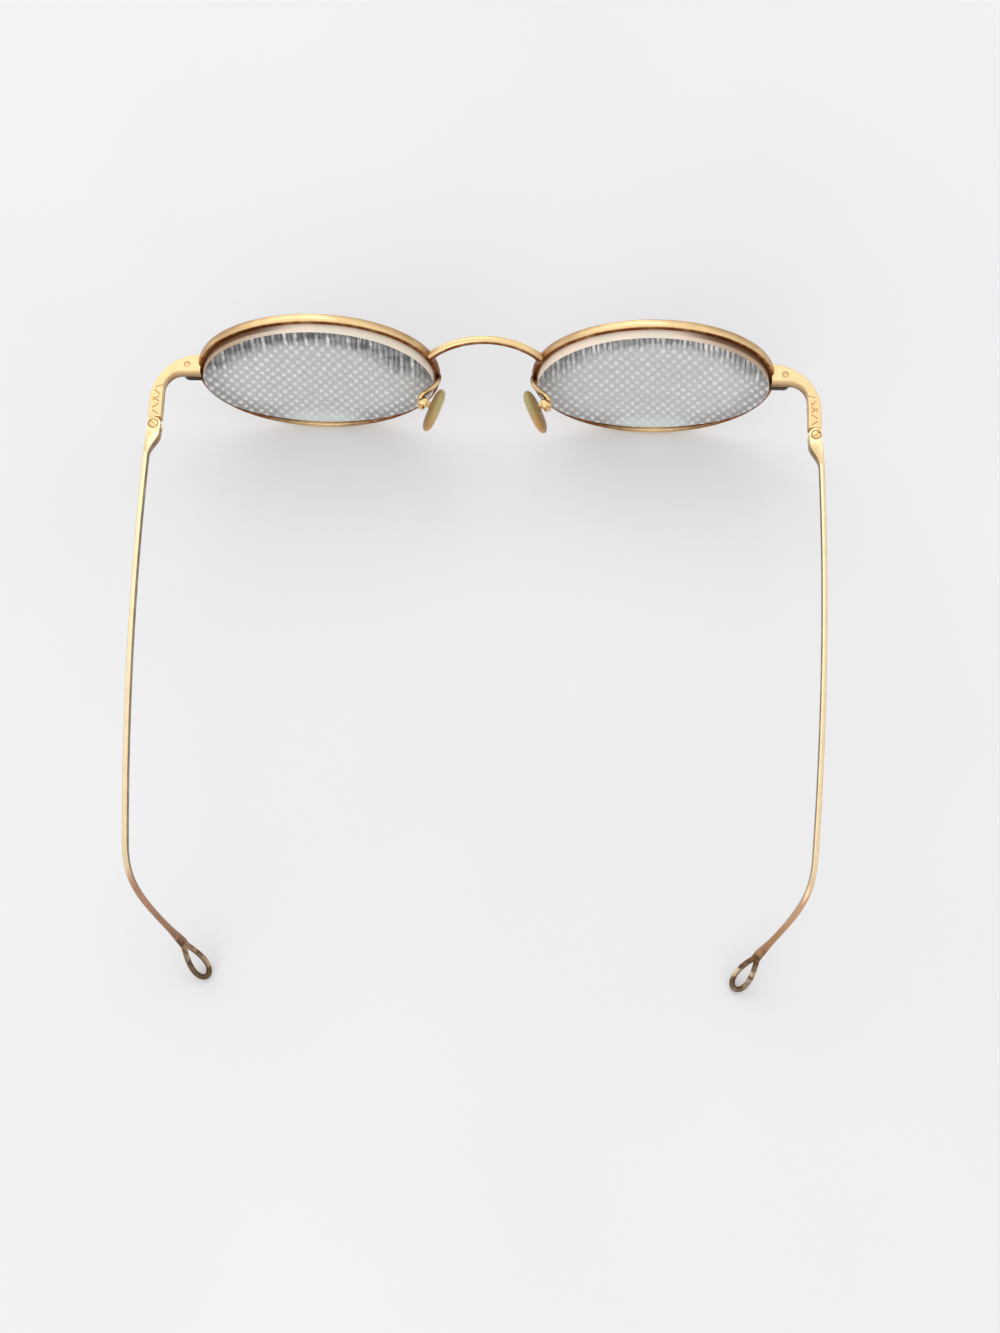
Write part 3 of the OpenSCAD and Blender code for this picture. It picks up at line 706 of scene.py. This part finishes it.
def bridgeGrid():
    # arc of a circle through both ends and the apex, in a plane that leans forwards, thicker at the solder
    look = bridgeLook
    half = eyeMiddle[0] - rimHalfWide * np.sqrt(1 - (look["up"] / rimHalfHigh)**2)
    archHigh = np.hypot(look["rise"], look["reach"])
    radius = (half**2 + archHigh**2) / (2 * archHigh)
    span = np.arcsin(half / radius) + np.radians(1.2)    # the ends run a little into the rims
    angle = np.linspace(-span, span, look["steps"])
    out = np.array([0, look["reach"], look["rise"]]) / archHigh
    middle = np.array([0, look["up"] * np.tan(np.radians(front["lean"])) + front["yShift"],
                       eyeMiddle[2] + look["up"]])
    sideways, risen = np.sin(angle)[:, None] * radius, np.cos(angle)[:, None] * radius + archHigh - radius
    path = middle + sideways * np.array([1.0, 0, 0]) + risen * out
    fromEnd = (span - np.abs(angle)) * radius
    grow = 1 + look["flare"] * np.exp(-(fromEnd / look["flareLong"])**2)
    section = circle(fullTurn(look["around"])) * (look["thick"] / 2 * grow)[:, None, None]
    grid = sweep(path, section, up=(0, 1, 0.3))
    # dull marks: painted shade on the underside, and darker near both ends where the bridge meets the rims
    darkNearJoin = 0.5 * np.exp(-(fromEnd / 2.4)**2)[:, None]
    return grid, np.maximum(lowerShade(grid, path), darkNearJoin)


bridgePoints, bridgeDullness = bridgeGrid()
buildPiece("bridge_wire", [gridPart(bridgePoints)], 1, [goldRim], "front", ["bridge"],
           marks={"dull": bridgeDullness})
print("bridge made")


# End pieces

def plainCurve(points, count):
    # the same polyline with `count` points at equal distances along it
    along = runLength(points)
    s = np.linspace(0, along[-1], count)
    return np.stack([np.interp(s, along, points[:, k]) for k in range(points.shape[1])], -1)


def endPieceGrid():
    # rounded bar between an outer line (leg, wide arc) and an inner line (leg, fillet, straight to the rim)
    look = endLook
    xIn, xOut = pinX - look["inner"], pinX + look["outer"]
    yButt = pinY + look["inner"] + look["gap"]
    yTurn, yIn = endY + look["lockFront"] - look["outerRadius"], endY - look["lockBack"]
    xEnd = endX - look["into"]

    def arc(cx, cy, radius, start, end):
        return [cx, cy] + radius * circle(np.radians(np.linspace(start, end, 60)))

    def joined(legs):
        # the legs one after another without their shared points; the first one gets half of the steps
        lines = [plainCurve(leg, look["steps"] // share) for leg, share in zip(legs, (2, 4, 4))]
        return np.vstack([lines[0]] + [line[1:] for line in lines[1:]])

    cx = xOut - look["outerRadius"]
    last = np.degrees(np.arccos(np.clip((xEnd - cx) / look["outerRadius"], -1, 1)))
    outerLegs = [np.vstack([[[xOut, yButt]], arc(cx, yTurn, look["outerRadius"], 0, 30)]),
                 arc(cx, yTurn, look["outerRadius"], 30, 60), arc(cx, yTurn, look["outerRadius"], 60, last)]
    r = look["innerRadius"]
    innerLegs = [np.array([[xIn, yButt], [xIn, yIn - r]]), arc(xIn - r, yIn - r, r, 0, 90),
                 np.array([[xIn - r, yIn], [xEnd, yIn]])]
    outer, inner = joined(outerLegs), joined(innerLegs)
    middle, across = (outer + inner) / 2, outer - inner
    section = roundedBar(np.linalg.norm(across, axis=1), look["high"], look["edge"], 5, look["across"])
    flat = middle[:, None] + unit(across)[:, None] * section[..., :1]
    z = topZ - look["high"] / 2 + section[..., 1]
    onTop = smoothStep((z - topZ + 0.08) / 0.06)
    depth = notchDepth(flat, xOut - look["outerRadius"], yTurn, yButt) * onTop
    # the lock screw ends a little under the face: a shallow round recess with a dark rim
    fromLock = np.linalg.norm(flat - [endX + look["lockOut"], endY - look["lockDown"]], axis=-1)
    recess = (1 - smoothStep((fromLock - look["lockRadius"] + 0.16) / 0.16)) * onTop
    rimMark = np.exp(-((fromLock - look["lockRadius"] + 0.08) / 0.13)**2) * onTop
    marks = np.maximum(depth, np.maximum(0.9 * rimMark, 0.35 * recess))
    # painted shade: a dull line low on the inner side face
    fromInside = section[..., 0] + np.linalg.norm(across, axis=1)[:, None] / 2
    dull = smoothStep((0.14 - fromInside) / 0.12) * smoothStep((topZ - 1.1 - z) / 0.5)
    drop = depth * look["notchDeep"] + recess * 0.1
    return np.dstack([flat, z - drop]), marks, dull


def notchDepth(flat, cx, cy, yButt):
    # 1 in the middle of a slanting notch, falling off smoothly with the distance from its line; the notches
    # stand on the leg first and then round the bend
    look = endLook
    radius = look["outerRadius"] - (look["inner"] + look["outer"]) / 2
    step, depth = look["notchRun"] / look["notches"], np.zeros(flat.shape[:2])
    for i in range(look["notches"]):
        if i * step < look["legLong"]:
            place, heading = np.array([cx + radius, yButt + look["legToNotch"] + i * step]), 0.0
        else:
            heading = (i * step - look["legLong"]) / radius
            place = [cx, cy] + radius * circle(heading)
        slant = heading + np.radians(look["notchSlant"]) * (1 if i % 2 == 0 else -1)
        way, away = circle(slant), flat - place
        along, off = away @ way, away @ np.array([-way[1], way[0]])
        past = np.maximum(np.abs(along) - look["notchLong"] + look["notchWide"], 0)
        depth = np.maximum(depth, 1 - smoothStep(np.hypot(off, past) / look["notchWide"]))
    return depth


def tongueGrid():
    # middle knuckle of the hinge: half disc round the pin and a short neck, as an upright rounded slab
    look = endLook
    outer, neck = look["outer"], look["inner"] + 0.3
    line = np.vstack([outer * circle(np.radians(np.linspace(180, 360, 25))), [[outer, neck], [-outer, neck]]])
    line += [pinX, pinY]
    low, high = topZ - look["high"] + look["knuckleDown"], look["knuckleHigh"]
    # four rings, the first and last drawn in a little to round the edges
    return np.array([np.column_stack([line + (line.mean(0) - line) * inset, np.full(len(line), low + up)])
                     for inset, up in ((0.03, 0.0), (0.0, 0.05), (0.0, high - 0.05), (0.03, high))])


endGrid, endMarks, endDullness = endPieceGrid()
for sideName, side in sides.items():
    buildPiece("end_strip_" + sideName, [gridPart(endGrid), gridPart(tongueGrid())], side, [goldEnd], "front",
               ["end_piece_" + sideName], marks={"engraved": endMarks, "dull": endDullness})
print("end pieces made")


# Temples

templeLook = dict(bladeThick=1.0, bladeHigh=2.2, bladeRound=0.22, bendBack=88.5, rise=5.2, bow=1.05,
                  bendIn=2.95, splay=2.9, tipBack=19.5, earTurn=8.2, tipIn=12.8, earWide=1.5, earHigh=1.4,
                  earRound=0.7, neck=0.82, eyeletLong=11.0, eyeletWide=4.0, wire=1.1, web=1.9, blockLong=1.8,
                  taper=4.6, straightSteps=90, earSteps=90, loopSteps=120)


def templePlaces():
    # start of the blade behind the hinge block, ear bend, the corner that draws it, fork and last direction
    look = templeLook
    behind, halfHigh = look["blockLong"] + look["taper"], look["bladeHigh"] / 2
    outside = pinX + endLook["outer"] + behind * np.tan(np.radians(look["splay"]))
    start = np.array([outside - look["bladeThick"] / 2, pinY - behind, topZ - halfHigh])
    bend = np.array([pinX - look["bendIn"], pinY - look["bendBack"], topZ + look["rise"] - halfHigh])
    tip = np.array([bend[0] - look["tipIn"], bend[1] - look["tipBack"], 0.34 * look["wire"]])
    tipWay = unit(np.array([-0.386, -0.484, -0.786]))
    fork = tip - tipWay * (look["eyeletLong"] - look["wire"] / 2)
    bendWay = unit(bend - start - np.array([4 * look["bow"], 0, 0]))
    return start, bend, bend + bendWay * look["earTurn"], fork, tipWay


def templeGrids():
    # bar carried along a bowed straight line and a cubic behind the ear; the eyelet is a drop-shaped ring
    look = templeLook
    start, bend, corner, fork, tipWay = templePlaces()
    t = np.linspace(0, 1, look["straightSteps"])
    straight = start + (bend - start) * t[:, None]
    straight[:, 0] += 4 * look["bow"] * t * (1 - t)
    e = np.linspace(0, 1, look["earSteps"] + 1)[1:]
    ear = bezier(bend, corner, corner + (fork - corner) * 0.25, fork, e)
    path = np.vstack([straight, ear, fork + tipWay, fork + tipWay * look["web"]])
    onEar = np.concatenate([0 * t, e, [1, 1]])
    share = smoothStep(onEar)
    neck = 1 - (1 - look["neck"]) * np.exp(-((onEar - 0.8) / 0.22)**2)
    # the end is pressed wider and flatter, and fills the crotch of the eyelet
    pressed = smoothStep((onEar - 0.88) / 0.12)

    def fromTo(blade, ear):
        return look[blade] + (look[ear] - look[blade]) * share

    wide = fromTo("bladeThick", "earWide") * neck * (1 + 0.3 * pressed)
    high = fromTo("bladeHigh", "earHigh") * neck * (1 - 0.26 * pressed)
    section = roundedBar(wide, high, fromTo("bladeRound", "earRound"), corner=7)
    arm = sweep(path, section, firstWay=[0, -1, 0])
    # painted shade: the inner side of the bar, and the lower skin of the eyelet ring, take the dull colour
    dull = smoothStep((section[..., 0] / wide[:, None] - 0.4) / 0.1)
    # drop: along = half length * (1 - cos u), across = sin u * |sin(u / 2)|^1.1 scaled to the half width
    halfLong, halfWide = (look["eyeletLong"] - look["wire"]) / 2, (look["eyeletWide"] - look["wire"]) / 2
    across = unit(np.cross(tipWay, [0, 0, 1.0]))
    face = np.cross(across, tipWay)
    u = fullTurn(look["loopSteps"]) + 1e-4
    drop = np.sin(u) * np.abs(np.sin(u / 2))**1.1
    drop *= halfWide / drop.max()
    loop = fork + tipWay * (look["wire"] / 4) + tipWay * (halfLong * (1 - np.cos(u)))[:, None]
    loop += across * drop[:, None]
    ring = sweep(loop, roundedBar(look["wire"], look["wire"], look["wire"] / 2)[0], up=face, closed=True)
    return arm, dull, ring, 0.8 * lowerShade(ring, loop, 0.2, 0.6)


tipTone = {"right": dict(rose=rgb(226, 186, 152), brown=rgb(182, 138, 100), loop=rgb(240, 212, 180)),
           "left": dict(rose=rgb(200, 154, 128), brown=rgb(160, 124, 98), loop=rgb(186, 160, 132))}
tipLook = dict(roseDull=rgb(86, 64, 40), rose=(-46.0, -51.0), brown=(-49.5, -56.5), loop=(-57.8, -59.6),
               spots=(-56.0, -58.0), end=(-60.8, -62.8), spotShare=0.85, uneven=4.0)


def tipMaterial(sideName):
    # by the place along Y, made uneven by a noise: gold turns rose behind the ear bend, brown at the fork and
    # paler on the eyelet, which has dark spots and a dark end
    look, tone = tipLook, tipTone[sideName]
    material, tree, shader = newMaterial("goldTemple_" + sideName)
    point = objectPoint(tree)
    y = maths(tree, "DIVIDE", addNode(tree, "ShaderNodeSeparateXYZ", {0: point}).outputs["Y"], mm)
    patch = noise(tree, point, 330.0, 2.0)
    y = plus(tree, y, swing(tree, patch, look["uneven"]))
    bright = tipGold["bright"]
    for zone in ("rose", "brown", "loop"):
        bright = mixColour(tree, ramp(tree, y, *look[zone]), bright, tone[zone])
    dull = mixColour(tree, ramp(tree, y, *look["rose"]), tipGold["dull"], look["roseDull"])
    spots = times(tree, ramp(tree, y, *look["spots"]), ramp(tree, patch, 0.43, 0.55))
    spots = times(tree, maths(tree, "MAXIMUM", ramp(tree, y, *look["end"]), spots), look["spotShare"])
    # the "dull" points carry painted shade, and darken the tip together with its spots
    platedFinish(tree, shader, tipGold, bright, dull, maths(tree, "MAXIMUM", pointMark(tree, "dull"), spots))
    return material


armPoints, armDullness, loopPoints, loopDullness = templeGrids()
# the middles of the arm's two caps lie between its own points and those of the loop
templeDullness = np.concatenate([armDullness.ravel(), [0, 0], loopDullness.ravel()])
for sideName, side in sides.items():
    buildPiece("temple_wire_" + sideName, [gridPart(armPoints), gridPart(loopPoints, alongClosed=True)], side,
               [tipMaterial(sideName)], "temple_" + sideName, ["temple_arm_" + sideName],
               marks={"dull": templeDullness})
print("temples made")


# Nose pads and their arms

padLook = dict(long=14.0, wide=7.2, thick=2.4, out=2.4, back=7.8, up=2.7, drop=1.1, frontAngle=14.0,
               topAngle=18.0, seat=1.5, boxWide=2.7, boxHigh=2.3, boxFront=0.8, boxBack=1.2, arm=1.05,
               rings=26, around=72, upper=rgb(180, 168, 112), lower=rgb(202, 138, 52),
               cloudy=rgb(136, 124, 80), deep=rgb(128, 92, 28))
padMiddle = np.array([front["lensGap"] / 2 + padLook["out"], front["yShift"] - padLook["back"],
                      eyeMiddle[2] + padLook["up"]])
padTurn = turn("Y", -padLook["frontAngle"]) @ turn("Z", padLook["topAngle"]) @ turn("Y", -90)


def padToFrame(points):
    # the pad's own frame (x along and up, y forwards, z to the nose) turned by its two splay angles
    return points @ padTurn.T + padMiddle


def padGrid():
    # oval cushion: outline grown by sin(angle)^0.5 from the back, height by -cos(angle), over half a turn
    look = padLook
    angle = np.pi * np.linspace(0, 1, look["rings"] + 2)[1:-1, None]
    grow = np.sin(angle)**0.5
    u = fullTurn(look["around"])
    x = look["long"] / 2 * grow * np.cos(u) - look["drop"]
    y = look["wide"] / 2 * grow * np.sin(u) * (1 - 0.1 * np.cos(u))
    z = look["seat"] + look["thick"] * (0.5 - 0.5 * np.cos(angle)) + 0 * x
    return padToFrame(np.dstack([x, y, z]))


def cupGrid():
    # turned cup with an oval outline; its line is (share of the half width, height): dome, lip, hollow
    look = padLook
    dome = np.linspace(0.06, np.pi / 2, 14)
    lip = np.linspace(0, np.pi, 9)
    outer = np.stack([np.sin(dome)**0.85,
                      -look["boxBack"] + (look["boxBack"] - 0.1) * (1 - np.cos(dome))], -1)
    edge = np.stack([0.86 + 0.14 * np.cos(lip), look["boxFront"] - 0.14 + 0.14 * np.sin(lip)], -1)
    hollow = np.array([[0.7, -0.2], [0.64, -0.5], [0.5, -0.6], [0.05, -0.62]])
    line = np.vstack([outer, edge, hollow])
    u = fullTurn(40)
    x = look["boxWide"] / 2 * line[:, :1] * np.cos(u)
    y = look["boxHigh"] / 2 * line[:, :1] * np.sin(u)
    return padToFrame(np.dstack([x, y, line[:, 1:] + 0 * x]))


def armGrid():
    # round wire along a cubic from inside the rim, out behind it and up into the pad box
    angle = np.radians(3)
    start = eyeToFrame(np.array([-(front["lensWide"] / 2 + 0.225) * np.cos(angle),
                                 (front["lensHigh"] / 2 + 0.125) * np.sin(angle), 0.55]))
    goal, away = (padToFrame(np.array([padLook["boxWide"] / 2 + past, 0, deep]))
                  for past, deep in ((-0.45, -0.83), (2.0, -1.33)))
    path = bezier(start, start + [-1, -3, 0.9], away, goal, np.linspace(0, 1, 70))
    length = runLength(path)
    grow = 1 + 0.25 * np.exp(-(length / 0.9)**2)    # a little thicker at the solder
    section = circle(fullTurn(24)) * (padLook["arm"] / 2 * grow)[:, None, None]
    grid = sweep(path, section, up=(1, 0, 0.2), firstWay=[0, -1, 0])
    # painted shade: dark near the rim where the arm leaves it, and on its lower skin
    darkNearJoin = 0.95 * (1 - smoothStep((length - 1.2) / 2.6))[:, None]
    return grid, np.maximum(lowerShade(grid, path, 0.5, 0.4), darkNearJoin)


def padMaterial(sideName, side):
    # silicone that has yellowed: olive grey above, amber at the lower end, brown at the back, a soft skin
    look = padLook
    material, tree, shader = newMaterial("padSilicone_" + sideName)
    point = objectPoint(tree)
    cloud, fine = noise(tree, point, 300.0, 3.0), noise(tree, point, 3000.0, 2.0)
    along = alongAxis(tree, point, padMiddle, padTurn[:, 0], side)
    along = plus(tree, along, swing(tree, cloud, 3.0))
    depth = alongAxis(tree, point, padMiddle, padTurn[:, 2], side)
    colour = mixColour(tree, ramp(tree, along, 5.0, -3.0), look["upper"], look["lower"])
    colour = mixColour(tree, ramp(tree, cloud, 0.45, 0.75, 0.0, 0.25), colour, look["cloudy"])
    colour = mixColour(tree, ramp(tree, depth, 3.2, 1.8, 0.0, 0.8), colour, look["deep"])
    setInputs(tree, shader, {"Base Color": colour, "Roughness": ramp(tree, fine, 0.3, 0.7, 0.22, 0.36),
                             "Specular IOR Level": 0.3, "Coat Weight": 0.15, "Coat Roughness": 0.12,
                             "Normal": bumped(tree, fine, 0.12, 0.04)})
    return material


wirePoints, wireDullness = armGrid()
for sideName, side in sides.items():
    buildPiece("pad_soft_" + sideName, [gridPart(padGrid())], side, [padMaterial(sideName, side)],
               "pad_" + sideName, ["nose_pad_" + sideName], sharp=70)
    buildPiece("pad_wire_" + sideName, [gridPart(wirePoints)], side, [goldArm], "front",
               ["pad_arm_" + sideName], marks={"dull": wireDullness})
    buildPiece("pad_cup_" + sideName, [gridPart(cupGrid())], side, [goldCup], "front",
               ["pad_box_" + sideName], sharp=60)
print("pads made")


# Small parts: the CAD solid with its edges broken

smallParts = {"hinge_block": dict(edge=0.14, material=goldBlock, slot="gold", body="temple_"),
              "lock_block": dict(edge=0.16, material=goldLockShaded, slot="lock", body=""),
              "hinge_screw": dict(edge=0.04, material=goldScrew, slot="screw", body="temple_"),
              "lock_screw": dict(edge=0.05, material=goldScrew, slot="screw", body=""),
              "pad_screw": dict(edge=0.05, material=goldScrew, slot="screw", body=""),
              "pad_lug": dict(edge=0.06, material=goldScrew, slot="insert", body="pad_")}


def brokenEdges(node, look, body):
    # the node's own mesh with its doubles merged, flat faces joined, and a small round on every real edge
    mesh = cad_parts[node].data.copy()
    mesh.name = node + "_finished"
    shape = bmesh.new()
    shape.from_mesh(mesh)
    bmesh.ops.remove_doubles(shape, verts=shape.verts, dist=2e-7)
    bmesh.ops.dissolve_limit(shape, angle_limit=np.radians(1.0), verts=shape.verts, edges=shape.edges)
    shape.to_mesh(mesh)
    shape.free()
    mesh.materials.clear()
    mesh.materials.append(look["material"])
    mesh.shade_smooth()
    piece = newObject(mesh.name, mesh)
    bevel = piece.modifiers.new("brokenEdge", "BEVEL")
    bevel.width = look["edge"] * mm
    bevel.segments = 3
    bevel.limit_method = "ANGLE"
    bevel.angle_limit = np.radians(32)
    bevel.harden_normals = True
    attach(piece, body)
    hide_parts(node)


for partName, look in smallParts.items():
    for sideName in sides:
        body = look["body"] + sideName if look["body"] else "front"
        brokenEdges(partName + "_" + sideName, look, body)
print("small parts finished")
